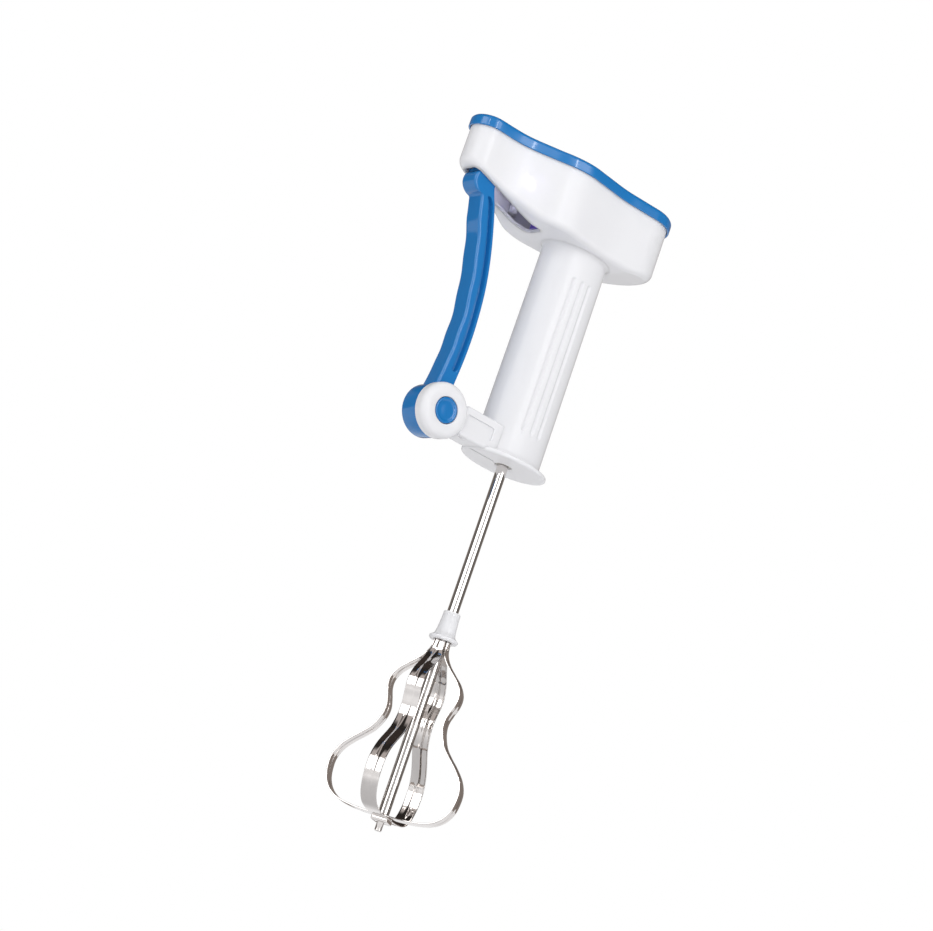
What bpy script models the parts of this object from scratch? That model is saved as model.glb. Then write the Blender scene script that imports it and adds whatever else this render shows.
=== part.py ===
"""Squeeze-lever egg beater: a white head and grip, a blue lever and lid, and a steel whisk.

Units are metres and +Z is up. The origin is the centre of the shaft's lower tip. The shaft runs up
along +Z through the grip into the head. The lever hangs on the -X side and swings about an axis
along Y. Squeezing it towards the grip pushes a rack along +X, which turns a two-step gear, which
turns the pinion on the shaft, so one full squeeze gives about 2.7 turns of the whisk.
"""

import math

import bmesh
import bpy

MM = 0.001
GAP = 0.3 * MM  # clearance between pieces that touch

# Shaft and whisk.
SHAFT_R = 2.75 * MM
TIP_R = 1.7 * MM
SHOULDER_Z = 8.1 * MM  # where the tip widens to the full shaft
JOURNAL_R = 1.6 * MM
JOURNAL_Z = 311.5 * MM
SHAFT_TOP = 331.0 * MM
CLIP_Z = 193.4 * MM  # groove of the retaining clip
STRIP_T = 0.6 * MM
STRIP_W = 8.0 * MM
STRIP_END_W = 4.8 * MM
LOOP_TURN = math.radians(-54.5)  # how far the first loop is turned from the X axis
COLLAR_Z = 94.7 * MM
COLLAR_TOP = 109.2 * MM

# Grip: an oval tube with a flange at its lower end.
GRIP_A = 18.6 * MM
GRIP_B = 13.9 * MM
GRIP_TOP_SCALE = 0.975
GRIP_WALL = 2.6 * MM
FLANGE_Z = 185.3 * MM
FLANGE_A = 23.6 * MM
FLANGE_B = 17.4 * MM
GRIP_FLOOR = 190.6 * MM
BUSH_BORE = 4.4 * MM
GROOVE_PITCH = 5.05 * MM
GROOVE_R = 1.15 * MM
GROOVE_LOW = 201.5 * MM
GROOVE_HIGH = 283.5 * MM

# Head: one outline, wide over the gears and narrow over the lever.
NOSE_X = -71.3 * MM  # centre of the round end over the lever
NOSE_R = 10.3 * MM
HEEL_X = 25.0 * MM  # centre of the round end behind the grip
HEEL_H = 21.6 * MM
HEEL_A = 19.3 * MM
SIDE_MM = ((-56, 11.3), (-42, 16.6), (-31, 21.5), (-21.5, 23.3), (-11, 22.2), (3, 20.5), (14, 20.9))
LID_OVERHANG = 1.3 * MM
HEAD_WALL = 1.8 * MM
HEAD_LOW = 298.0 * MM
SLOPE_X = -36.0 * MM  # the underside climbs towards the nose from here
SLOPE = 0.268
HEEL_SLOPE_X = 18.5 * MM  # the underside rises again from here to the heel
HEEL_SLOPE = 0.2
HEAD_ROUND = 3.2 * MM
LID_LOW = 329.0 * MM
LID_PLATE = 332.3 * MM
LID_TOP = 335.0 * MM
WALL_TOP = LID_PLATE - GAP
SLOT_LEFT = -74.8 * MM
SLOT_RIGHT = -27.0 * MM
SLOT_HALF = 6.0 * MM

# Lever and its hub.
HUB_X = -50.0 * MM
HUB_Z = 191.9 * MM
DRUM_R = 12.8 * MM
DRUM_NEAR = -6.0 * MM
DRUM_FAR = 5.6 * MM
DISC_NEAR = -13.4 * MM
DISC_FAR = DRUM_NEAR - GAP
DISC_R = 13.5 * MM
LEVER_HALF = 5.5 * MM
TONGUE_HALF = 2.6 * MM
TONGUE_Z = 309.5 * MM
PIVOT_R = 3.0 * MM
CAP_R = 6.25 * MM
LEVER_PIN_X = -65.5 * MM
LEVER_PIN_Z = 316.0 * MM
LEVER_PIN_R = 1.5 * MM
ARM_LOW = 185.7 * MM
ARM_HIGH = 200.6 * MM
ARM_NEAR = -9.6 * MM
ARM_FAR = 4.4 * MM

# Gear train.
RACK_MODULE = 1.0 * MM
STEP_PINION_TEETH = 12
WHEEL_MODULE = 0.8 * MM
WHEEL_TEETH = 36
PINION_TEETH = 12
STEP_PINION_R = RACK_MODULE * STEP_PINION_TEETH / 2
WHEEL_R = WHEEL_MODULE * WHEEL_TEETH / 2
PINION_R = WHEEL_MODULE * PINION_TEETH / 2
GEAR_Y = 2.5 * MM
GEAR_X = -math.sqrt((WHEEL_R + PINION_R) ** 2 - GEAR_Y**2)
AXLE_R = 1.5 * MM
RACK_LOW = 313.6 * MM
RACK_HIGH = 319.6 * MM
RACK_PITCH_Y = GEAR_Y - STEP_PINION_R
RACK_BACK_Y = -6.8 * MM
WHEEL_LOW = 323.0 * MM
WHEEL_HIGH = 327.5 * MM
PINION_HUB_LOW = 320.7 * MM  # clear of the rack, which passes under it
CARRIER_LOW = 300.3 * MM
CARRIER_T = 3.0 * MM
SCREWS = ((-33.5 * MM, 14.9 * MM), (-33.5 * MM, -14.9 * MM), (37.0 * MM, 0.0))

ROUND_STEPS = 24


def make_material(name, color, roughness, metallic=0.0):
    item = bpy.data.materials.new(name)
    item.use_nodes = True
    shader = item.node_tree.nodes["Principled BSDF"]
    shader.inputs["Base Color"].default_value = (*color, 1.0)
    shader.inputs["Roughness"].default_value = roughness
    shader.inputs["Metallic"].default_value = metallic
    item.diffuse_color = (*color, 1.0)
    return item


def make_object(name, bm, look=None):
    """Turns a bmesh into a scene object whose faces point outwards."""
    bmesh.ops.recalc_face_normals(bm, faces=bm.faces)
    mesh = bpy.data.meshes.new(name)
    bm.to_mesh(mesh)
    bm.free()
    item = bpy.data.objects.new(name, mesh)
    bpy.context.scene.collection.objects.link(item)
    if look:
        mesh.materials.append(look)
        mesh.shade_smooth()
        mesh.set_sharp_from_angle(angle=math.radians(30))
    return item


def make_cutter(name, bm):
    item = make_object(name, bm)
    item.hide_render = True
    item.display_type = "WIRE"
    return item


def boolean(target, tool, operation):
    step = target.modifiers.new(f"{operation.lower()} {tool.name}", "BOOLEAN")
    step.operation = operation
    step.object = tool
    step.solver = "EXACT"


def cut(target, name, bm):
    boolean(target, make_cutter(name, bm), "DIFFERENCE")


def join(target, name, bm):
    boolean(target, make_cutter(name, bm), "UNION")


def set_origin(item, point):
    """Moves the object's origin to a point, leaving its shape where it is."""
    for vertex in item.data.vertices:
        vertex.co.x -= point[0]
        vertex.co.y -= point[1]
        vertex.co.z -= point[2]
    item.location = point


def loft(rings):
    """A closed solid through rings of the same number of points, with flat ends."""
    bm = bmesh.new()
    loops = [[bm.verts.new(point) for point in ring] for ring in rings]
    count = len(loops[0])
    for low, high in zip(loops, loops[1:]):
        for k in range(count):
            j = (k + 1) % count
            bm.faces.new((low[k], low[j], high[j], high[k]))
    bm.faces.new(list(reversed(loops[0])))
    bm.faces.new(loops[-1])
    return bm


def extruded(outline, low, high):
    return loft([[(x, y, z) for x, y in outline] for z in (low, high)])


def plate_xz(outline, near, far):
    """An outline in the XZ plane, extruded along Y."""
    return loft([[(x, y, z) for x, z in outline] for y in (near, far)])


def block(low, high):
    corners = [(low[0], low[1]), (high[0], low[1]), (high[0], high[1]), (low[0], high[1])]
    return extruded(corners, low[2], high[2])


def turned(profile, center=(0.0, 0.0), axis="Z", steps=ROUND_STEPS):
    """Revolves a closed profile of (radius, height) about an axis through the centre."""
    bm = bmesh.new()
    loops = []
    for radius, height in profile:
        ring = []
        for k in range(steps if radius else 1):
            angle = 2 * math.pi * k / steps
            u = center[0] + radius * math.cos(angle)
            v = center[1] + radius * math.sin(angle)
            ring.append(bm.verts.new((u, v, height) if axis == "Z" else (u, height, v)))
        loops.append(ring)
    for first, second in zip(loops, loops[1:] + loops[:1]):
        if len(first) == len(second) == 1:
            continue
        for k in range(steps):
            j = (k + 1) % steps
            corners = (
                first[k % len(first)],
                first[j % len(first)],
                second[j % len(second)],
                second[k % len(second)],
            )
            bm.faces.new(list(dict.fromkeys(corners)))
    return bm


def rod(radius, low, high, center=(0.0, 0.0), axis="Z", steps=ROUND_STEPS):
    return turned([(0, low), (radius, low), (radius, high), (0, high)], center, axis, steps)


def sleeve(inner, outer, low, high, center=(0.0, 0.0), axis="Z", steps=ROUND_STEPS):
    return turned([(inner, low), (outer, low), (outer, high), (inner, high)], center, axis, steps)


def ellipse(a, b, steps=ROUND_STEPS, center=(0.0, 0.0)):
    turns = [2 * math.pi * k / steps for k in range(steps)]
    return [(center[0] + a * math.cos(t), center[1] + b * math.sin(t)) for t in turns]


def rounded_box(left, right, low, high, radius, steps=5):
    """A rectangle in two axes with quarter-round corners."""
    points = []
    corners = ((right, high, 0), (left, high, 90), (left, low, 180), (right, low, 270))
    for x, y, start in corners:
        cx = x - math.copysign(radius, x - (left + right) / 2)
        cy = y - math.copysign(radius, y - (low + high) / 2)
        for k in range(steps + 1):
            angle = math.radians(start + 90 * k / steps)
            points.append((cx + radius * math.cos(angle), cy + radius * math.sin(angle)))
    return points


def offset(outline, inset):
    """Moves each point of a closed outline inwards by inset."""
    moved = []
    area = sum(a[0] * b[1] - b[0] * a[1] for a, b in zip(outline, outline[1:] + outline[:1]))
    turn = math.copysign(1.0, area)
    for k, point in enumerate(outline):
        before = outline[k - 1]
        after = outline[(k + 1) % len(outline)]
        dx, dy = after[0] - before[0], after[1] - before[1]
        length = math.hypot(dx, dy)
        moved.append((point[0] - turn * inset * dy / length, point[1] + turn * inset * dx / length))
    return moved


def smooth_path(points, per_span=6):
    """A Catmull-Rom curve through the points."""
    ends = [points[0]] + list(points) + [points[-1]]
    path = []
    for spans in zip(ends, ends[1:], ends[2:], ends[3:]):
        for k in range(per_span):
            t = k / per_span
            point = []
            for a, b, c, d in zip(*spans):
                square = (2 * a - 5 * b + 4 * c - d) * t**2
                cube = (3 * b - a - 3 * c + d) * t**3
                point.append(0.5 * (2 * b + (c - a) * t + square + cube))
            path.append(tuple(point))
    return path + [tuple(points[-1])]


def smoothstep(x, start, end):
    u = min(max((x - start) / (end - start), 0.0), 1.0)
    return u * u * (3 - 2 * u)


# ---------------------------------------------------------------- head outline


def head_outline(inset=0.0):
    """The lid's outline from the nose tip along -Y to the heel and back along +Y."""
    cap_steps = 7
    side = []
    for k in range(cap_steps + 1):
        angle = math.pi / 2 * k / cap_steps
        side.append((NOSE_X - NOSE_R * math.cos(angle), -NOSE_R * math.sin(angle)))
    flank = [(NOSE_X, NOSE_R)] + [(x * MM, half * MM) for x, half in SIDE_MM] + [(HEEL_X, HEEL_H)]
    side += [(x, -half) for x, half in smooth_path(flank, 2)[1:-1]]
    for k in range(cap_steps + 1):
        angle = math.pi / 2 * k / cap_steps
        side.append((HEEL_X + HEEL_A * math.sin(angle), -HEEL_H * math.cos(angle)))
    loop = side + [(x, -y) for x, y in reversed(side[1:-1])]
    return offset(loop, inset) if inset else loop


def underside(x):
    return HEAD_LOW + SLOPE * max(SLOPE_X - x, 0.0) + HEEL_SLOPE * max(x - HEEL_SLOPE_X, 0.0)


def head_solid(inset, rise, corner, top):
    """The head's outer or inner form: a rounded lower edge that follows the sloping underside."""
    bm = bmesh.new()
    arc_steps = 2
    rings = []
    for k in range(arc_steps + 1):
        angle = math.pi / 2 * k / arc_steps
        inward = corner * (1 - math.sin(angle))
        up = corner * (1 - math.cos(angle))
        rings.append([(x, y, underside(x) + rise + up) for x, y in head_outline(inset + inward)])
    rings.append([(x, y, top) for x, y in head_outline(inset)])
    loops = [[bm.verts.new(point) for point in ring] for ring in rings]
    count = len(loops[0])
    for low, high in zip(loops, loops[1:]):
        for k in range(count):
            j = (k + 1) % count
            bm.faces.new((low[k], low[j], high[j], high[k]))
    for loop in (loops[0], loops[-1]):
        for k in range(count // 2):
            corners = (loop[k], loop[k + 1], loop[-k - 1], loop[-k] if k else loop[0])
            bm.faces.new(list(dict.fromkeys(corners)))
    return bm


# ---------------------------------------------------------------- gears


def gear_outline(teeth, module, phase, center):
    """Straight-sided teeth, a little slimmer than half the pitch for running clearance."""
    pitch_r = teeth * module / 2
    pitch = 2 * math.pi / teeth
    levels = ((pitch_r - 1.25 * module, 0.32), (pitch_r + 0.95 * module, 0.10))
    flank = levels + levels[::-1]
    points = []
    for tooth in range(teeth):
        for k, (radius, half) in enumerate(flank):
            side = -1 if k < len(levels) else 1
            angle = phase + pitch * (tooth + side * half)
            points.append((center[0] + radius * math.cos(angle), center[1] + radius * math.sin(angle)))
    return points


def rack_teeth(left, right, back):
    """A toothed bar outline in XY: teeth point to +Y, with one tooth centred on the gear's axis."""
    pitch = math.pi * RACK_MODULE
    root = RACK_PITCH_Y - 1.25 * RACK_MODULE
    tip = RACK_PITCH_Y + 0.95 * RACK_MODULE
    points = [(left, back), (right, back), (right, root)]
    first = math.floor((right - GEAR_X) / pitch - 0.35)
    last = math.ceil((left + 6.0 * MM - GEAR_X) / pitch + 0.35)
    for number in range(first, last - 1, -1):
        middle = GEAR_X + number * pitch
        for shift, y in ((0.30, root), (0.10, tip), (-0.10, tip), (-0.30, root)):
            points.append((middle + shift * pitch, y))
    points.append((left, root))
    return points


# ---------------------------------------------------------------- fixed pieces


def build_housing(look):
    """Head shell, grip tube, lower flange, arm and the disc that carries the lever, moulded in one."""
    housing = make_object("housing", head_solid(LID_OVERHANG, 0.0, HEAD_ROUND, WALL_TOP), look)

    grip = []
    levels = (
        (FLANGE_Z + 0.4 * MM, 1.0),
        (HEAD_LOW - 2.4 * MM, GRIP_TOP_SCALE),
        (HEAD_LOW, 1.05),
        (HEAD_LOW + 1.0 * MM, 1.05),
    )
    for z, scale in levels:
        grip.append([(x, y, z) for x, y in ellipse(GRIP_A * scale, GRIP_B * scale, 36)])
    join(housing, "grip_form", loft(grip))

    flange = []
    for z, inset in ((0.0, 0.7), (0.7, 0.0), (1.5, 0.0), (2.2, 0.7)):
        outline = ellipse(FLANGE_A - inset * MM, FLANGE_B - inset * MM, 36)
        flange.append([(x, y, FLANGE_Z + z * MM) for x, y in outline])
    join(housing, "flange_form", loft(flange))

    arm = plate_xz(rounded_box(HUB_X + 9 * MM, -6.0 * MM, ARM_LOW, ARM_HIGH, 1.2 * MM, 2), ARM_NEAR, ARM_FAR)
    join(housing, "arm_form", arm)
    drum_room = rod(DRUM_R + 1.2 * MM, DISC_FAR - 1.0 * MM, DRUM_FAR + 6 * MM, (HUB_X, HUB_Z), "Y", 36)
    cut(housing, "drum_room", drum_room)
    cut_housing(housing)
    return housing


def cut_housing(housing):
    inner = LID_OVERHANG + HEAD_WALL
    room = make_cutter("head_room", head_solid(inner, HEAD_WALL, 1.6 * MM, WALL_TOP + 5 * MM))
    for number, (x, y) in enumerate(SCREWS, 1):
        post = rod(3.4 * MM, HEAD_LOW - 1 * MM, WALL_TOP - GAP, (x, y), steps=12)
        boolean(room, make_cutter(f"post_form_{number}", post), "DIFFERENCE")
    boolean(housing, room, "DIFFERENCE")

    hollow_a = GRIP_A * GRIP_TOP_SCALE - GRIP_WALL
    hollow_b = GRIP_B * GRIP_TOP_SCALE - GRIP_WALL
    cut(housing, "grip_room", extruded(ellipse(hollow_a, hollow_b, 36), GRIP_FLOOR, HEAD_LOW + 6 * MM))
    cut(housing, "bush_room", rod(BUSH_BORE, FLANGE_Z - 2 * MM, GRIP_FLOOR + 2 * MM))

    slot = rounded_box(SLOT_LEFT, SLOT_RIGHT, -SLOT_HALF, SLOT_HALF, 3.2 * MM)
    cut(housing, "lever_slot", extruded(slot, HEAD_LOW - 6 * MM, LID_LOW - 12 * MM))

    edge = 3.4 * MM
    bore = PIVOT_R + GAP
    seat = CAP_R + GAP
    profile = [(bore, DISC_FAR), (DISC_R, DISC_FAR), (DISC_R, DISC_NEAR + edge)]
    for k in range(1, 4):
        angle = math.pi / 2 * k / 3
        profile.append((DISC_R - edge * (1 - math.cos(angle)), DISC_NEAR + edge * (1 - math.sin(angle))))
    profile += [(seat, DISC_NEAR), (seat, DISC_NEAR + 2.8 * MM), (bore, DISC_NEAR + 2.8 * MM)]
    join(housing, "disc_form", turned(profile, (HUB_X, HUB_Z), "Y", 36))

    panel = rounded_box(-35.0 * MM, -18.0 * MM, 190.4 * MM, 196.9 * MM, 0.8 * MM, 3)
    cut(housing, "arm_panel", plate_xz(panel, ARM_NEAR - 4 * MM, ARM_NEAR + 0.8 * MM))

    for side in (-1, 1):
        for number in (-1, 0, 1):
            outline = rounded_box(
                number * GROOVE_PITCH - GROOVE_R,
                number * GROOVE_PITCH + GROOVE_R,
                GROOVE_LOW,
                GROOVE_HIGH,
                GROOVE_R * 0.98,
                2,
            )
            surface = GRIP_B * 0.985 * math.sqrt(1 - (number * GROOVE_PITCH / GRIP_A) ** 2)
            near, far = sorted((side * (surface - 0.7 * MM), side * (surface + 4 * MM)))
            cut(housing, f"groove_{side}_{number}", plate_xz(outline, near, far))

    for number, (x, y) in enumerate(SCREWS, 1):
        cut(housing, f"screw_room_{number}", rod(1.7 * MM, 314 * MM, WALL_TOP + 3 * MM, (x, y), steps=12))


def build_lid(look):
    rings = []
    for z, inset in ((LID_LOW, 0.0), (LID_TOP - 1.9 * MM, 0.0), (LID_TOP - 0.6 * MM, 0.7), (LID_TOP, 2.2)):
        rings.append([(x, y, z) for x, y in head_outline(inset * MM)])
    lid = make_object("lid", loft(rings), look)
    skirt = LID_OVERHANG - GAP
    room = [[(x, y, z) for x, y in head_outline(skirt)] for z in (LID_LOW - 2 * MM, LID_PLATE)]
    cut(lid, "lid_room", loft(room))
    join(lid, "shaft_boss", rod(5.0 * MM, 328.8 * MM, LID_PLATE + 1 * MM, steps=24))
    join(lid, "axle_boss", rod(4.0 * MM, 329.4 * MM, LID_PLATE + 1 * MM, (GEAR_X, GEAR_Y), steps=24))
    rib_top = LID_PLATE + 1 * MM
    join(lid, "front_rib", block((-56 * MM, -6.6 * MM, 322.2 * MM), (-40 * MM, -4.8 * MM, rib_top)))
    join(lid, "rear_rib", block((7 * MM, -6.6 * MM, RACK_HIGH + GAP), (21 * MM, -4.8 * MM, rib_top)))
    cut(lid, "top_bush_room", rod(3.3 * MM, 326 * MM, 331.6 * MM, steps=24))
    cut(lid, "axle_top_room", rod(AXLE_R + GAP, 326 * MM, 331.6 * MM, (GEAR_X, GEAR_Y), steps=16))
    for number, (x, y) in enumerate(SCREWS, 1):
        hole, rim = 1.75 * MM, 3.3 * MM
        seat = [(0, 331 * MM), (hole, 331 * MM), (hole, 333.0 * MM)]
        seat += [(rim, 334.4 * MM), (rim, 336 * MM), (0, 336 * MM)]
        cut(lid, f"screw_seat_{number}", turned(seat, (x, y), steps=12))
    return lid


def build_screw(number, x, y, look):
    profile = [
        (0, 318 * MM),
        (0.5 * MM, 318 * MM),
        (1.35 * MM, 319.6 * MM),
        (1.35 * MM, 333.1 * MM),
        (3.0 * MM, 334.45 * MM),
        (3.0 * MM, 334.7 * MM),
        (0, 334.7 * MM),
    ]
    screw = make_object(f"lid_screw_{number}", turned(profile, (x, y), steps=12), look)
    arm, half, depth = 1.7 * MM, 0.35 * MM, 0.9 * MM
    floor, above = 334.7 * MM - depth, 336 * MM
    cut(screw, f"recess_x_{number}", block((x - arm, y - half, floor), (x + arm, y + half, above)))
    cut(screw, f"recess_y_{number}", block((x - half, y - arm, floor), (x + half, y + arm, above)))
    return screw


def build_carrier(look):
    """The plate over the grip's mouth: it holds the shaft's upper bush, the gear axle and the rack guide."""
    top = CARRIER_LOW + CARRIER_T
    carrier = make_object("gear_carrier", extruded(ellipse(17.6 * MM, 13.6 * MM), CARRIER_LOW, top), look)
    tongue = rounded_box(SLOT_RIGHT - GAP, 2.0 * MM, GEAR_Y - 6.0 * MM, GEAR_Y + 6.0 * MM, 4.5 * MM)
    join(carrier, "tongue_form", extruded(tongue, CARRIER_LOW + 0.01 * MM, top - 0.01 * MM))
    join(carrier, "spigot_form", extruded(ellipse(15.1 * MM, 10.5 * MM), 296.4 * MM, top - 1 * MM))
    axle = (GEAR_X, GEAR_Y)
    join(carrier, "axle_post", rod(3.9 * MM, CARRIER_LOW + 1 * MM, RACK_LOW - 0.7 * MM, axle, steps=24))
    shelf = block((-15.0 * MM, -9.4 * MM, top - 1 * MM), (12 * MM, -5.0 * MM, RACK_LOW - GAP))
    join(carrier, "rack_shelf", shelf)
    join(carrier, "rack_wall", block((-14.9 * MM, -9.3 * MM, top), (11.9 * MM, RACK_BACK_Y - GAP, RACK_HIGH)))
    cut(carrier, "upper_bush_room", rod(4.3 * MM, 290 * MM, top + 2 * MM, steps=24))
    axle_room = rod(AXLE_R + GAP, CARRIER_LOW + 1.2 * MM, RACK_LOW + 2 * MM, axle, steps=16)
    cut(carrier, "axle_low_room", axle_room)
    return carrier


def build_bush(name, seat_low, seat_high, flange_low, flange_high, sleeve_r, flange_r, bore, look):
    """A flanged plain bearing on the shaft's axis."""
    if flange_low >= seat_high:
        profile = [(bore, seat_low), (sleeve_r, seat_low), (sleeve_r, flange_low)]
        profile += [(flange_r, flange_low), (flange_r, flange_high), (bore, flange_high)]
    else:
        profile = [(bore, flange_low), (flange_r, flange_low), (flange_r, flange_high)]
        profile += [(sleeve_r, flange_high), (sleeve_r, seat_high), (bore, seat_high)]
    return make_object(name, turned(profile, steps=24), look)


def build_pivot_pin(look):
    far = DRUM_FAR + 0.9 * MM + GAP
    profile = [
        (0, DISC_NEAR + 1.2 * MM),
        (PIVOT_R - 0.4 * MM, DISC_NEAR + 1.2 * MM),
        (PIVOT_R, DISC_NEAR + 1.6 * MM),
        (PIVOT_R, far),
        (5.4 * MM, far),
        (5.4 * MM, far + 0.9 * MM),
        (4.4 * MM, far + 1.7 * MM),
        (0, far + 1.7 * MM),
    ]
    return make_object("pivot_pin", turned(profile, (HUB_X, HUB_Z), "Y", 24), look)


def build_pivot_cap(look):
    """A dished cap with a raised rim, pressed over the near end of the pivot pin."""
    face = DISC_NEAR - 0.35 * MM
    inner = PIVOT_R + GAP
    back = DISC_NEAR + 2.5 * MM
    floor = DISC_NEAR + 0.9 * MM
    profile = [
        (0, floor),
        (inner, floor),
        (inner, back),
        (CAP_R, back),
        (CAP_R, face + 0.5 * MM),
        (CAP_R - 0.5 * MM, face),
        (CAP_R - 1.1 * MM, face),
        (CAP_R - 1.9 * MM, face + 0.7 * MM),
        (0, face + 0.25 * MM),
    ]
    return make_object("pivot_cap", turned(profile, (HUB_X, HUB_Z), "Y", 24), look)


def build_return_spring(look):
    """Torsion spring wound round the lever's hub, with one leg to the drum and one to the disc."""
    wire_r = 0.6 * MM
    coil_r = 7.7 * MM
    turns = 3
    steps = 16
    start_y = DRUM_NEAR + 1.3 * MM
    pitch = 1.7 * MM
    path = [(HUB_X + coil_r + 2.6 * MM, start_y, HUB_Z - 1.2 * MM)]
    for k in range(turns * steps + 1):
        angle = 2 * math.pi * k / steps
        x, z = HUB_X + coil_r * math.cos(angle), HUB_Z + coil_r * math.sin(angle)
        path.append((x, start_y + pitch * k / steps, z))
    path.append((HUB_X + coil_r + 2.6 * MM, start_y + pitch * turns, HUB_Z + 1.2 * MM))
    curve = bpy.data.curves.new("return_spring", "CURVE")
    curve.dimensions = "3D"
    curve.bevel_depth = wire_r
    curve.bevel_resolution = 0
    curve.use_fill_caps = True
    spline = curve.splines.new("POLY")
    spline.points.add(len(path) - 1)
    for point, place in zip(spline.points, path):
        point.co = (*place, 1.0)
    curve.materials.append(look)
    item = bpy.data.objects.new("return_spring", curve)
    bpy.context.scene.collection.objects.link(item)
    return item


# ---------------------------------------------------------------- lever


def lever_edges():
    """The lever's outer and inner edges in the XZ plane, both from the hub upwards, in millimetres."""
    outer = [(-56.6, 199), (-55.0, 207), (-53.9, 216), (-53.3, 226), (-53.2, 238), (-54.3, 249), (-56.0, 259),
             (-58.1, 269), (-60.3, 278), (-62.9, 287), (-65.7, 296.4)]
    inner = [(-46.2, 199), (-45.5, 208), (-44.7, 219), (-44.4, 231), (-44.9, 243), (-46.1, 255), (-48.1, 266),
             (-50.9, 277), (-54.2, 287.5), (-57.5, 296.6), (-60.6, 303.5)]
    waves = []
    for x, z in smooth_path(outer, 3):
        fade = smoothstep(z, 210, 225) * (1 - smoothstep(z, 286, 294))
        waves.append((x - 0.35 * fade * math.cos(2 * math.pi * (z - 232) / 19), z))
    return waves, smooth_path(inner, 2)


def lever_outline():
    outer, inner = lever_edges()
    knuckle = [(-66.2, 297.2), (-69.3, 298.2), (-72.1, 300.3), (-73.4, 303.6), (-73.1, 306.8), (-71.8, 312.4)]
    tip = []
    for k in range(7):
        angle = math.radians(165 - 165 * k / 6)
        tip.append((LEVER_PIN_X / MM + 3.75 * math.cos(angle), LEVER_PIN_Z / MM + 3.75 * math.sin(angle)))
    neck = [(-61.6, 312.6), (-61.2, 309.0)]
    points = outer + smooth_path(knuckle, 2) + tip + neck + list(reversed(inner))
    return [(x * MM, z * MM) for x, z in points]


def build_lever(look):
    outline = lever_outline()
    rings = []
    soft = 1.0 * MM
    face, shoulder = LEVER_HALF, LEVER_HALF - soft
    for y, inset in ((-face, 0.9), (-shoulder, 0.0), (shoulder, 0.0), (face, 0.9)):
        rings.append([(x, y, z) for x, z in offset(outline, inset * MM)])
    lever = make_object("lever", loft(rings), look)
    edge = 0.8 * MM
    profile = [
        (0, DRUM_NEAR),
        (DRUM_R, DRUM_NEAR),
        (DRUM_R, DRUM_FAR - edge),
        (DRUM_R - edge, DRUM_FAR),
        (0, DRUM_FAR),
    ]
    join(lever, "drum_form", turned(profile, (HUB_X, HUB_Z), "Y", 36))
    cut(lever, "spring_room", sleeve(5.6 * MM, 11.4 * MM, DRUM_NEAR - 2 * MM, 1.6 * MM, (HUB_X, HUB_Z), "Y"))
    cut(lever, "hub_bore", rod(PIVOT_R + GAP, DRUM_NEAR - 3 * MM, DRUM_FAR + 3 * MM, (HUB_X, HUB_Z), "Y", 24))

    for side in (-1, 1):
        near, far = sorted((side * TONGUE_HALF, side * 12 * MM))
        shoulder = [(-80 * MM, TONGUE_Z), (-55 * MM, TONGUE_Z), (-55 * MM, 325 * MM), (-80 * MM, 325 * MM)]
        cut(lever, f"shoulder_{side}", plate_xz(shoulder, near, far))
        near, far = sorted((side * (LEVER_HALF - 2.4 * MM), side * 12 * MM))
        cut(lever, f"channel_{side}", plate_xz(lever_channel(), near, far))
    pin_axis = (LEVER_PIN_X, LEVER_PIN_Z)
    cut(lever, "lever_pin_bore", rod(LEVER_PIN_R + GAP, -12 * MM, 12 * MM, pin_axis, "Y", 16))
    set_origin(lever, (HUB_X, 0.0, HUB_Z))
    return lever


def lever_channel():
    """The long sunk channel beside the lever's inner edge, as an outline in XZ with pointed-round ends."""
    _, inner = lever_edges()
    run = [(x, z) for x, z in inner if 214 < z < 299]
    low = [(x - 1.9, z) for x, z in run]
    high = [(x - 4.7, z) for x, z in run]
    low_end = [(low[0][0] - 0.5, low[0][1] - 1.1), (high[0][0] + 0.6, high[0][1] - 1.1)]
    top_end = [(low[-1][0] - 1.0, low[-1][1] + 1.1), (high[-1][0] + 0.3, high[-1][1] + 1.1)]
    points = low + top_end + list(reversed(high)) + list(reversed(low_end))
    return [(x * MM, z * MM) for x, z in points]


def build_lever_pin(look):
    pin_axis = (LEVER_PIN_X, LEVER_PIN_Z)
    pin = make_object("lever_pin", rod(LEVER_PIN_R, -6.2 * MM, 2.5 * MM, pin_axis, "Y", 16), look)
    set_origin(pin, (HUB_X, 0.0, HUB_Z))
    return pin


# ---------------------------------------------------------------- gear train


def build_rack(look):
    left = LEVER_PIN_X + 4.1 * MM
    right = -12.0 * MM
    rack = make_object("rack", extruded(rack_teeth(left, right, RACK_BACK_Y), RACK_LOW, RACK_HIGH), look)
    plate = rounded_box(LEVER_PIN_X - 3.5 * MM, LEVER_PIN_X + 5.4 * MM, 312.2 * MM, 321.8 * MM, 1.0 * MM, 3)
    join(rack, "rack_end", plate_xz(plate, -6.4 * MM, -TONGUE_HALF - GAP))
    slot_r = LEVER_PIN_R + GAP
    slot = rounded_box(LEVER_PIN_X - slot_r, LEVER_PIN_X + slot_r, 314.0 * MM, 319.4 * MM, slot_r * 0.98, 4)
    cut(rack, "pin_slot", plate_xz(slot, -14 * MM, 2 * MM))
    return rack


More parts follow.
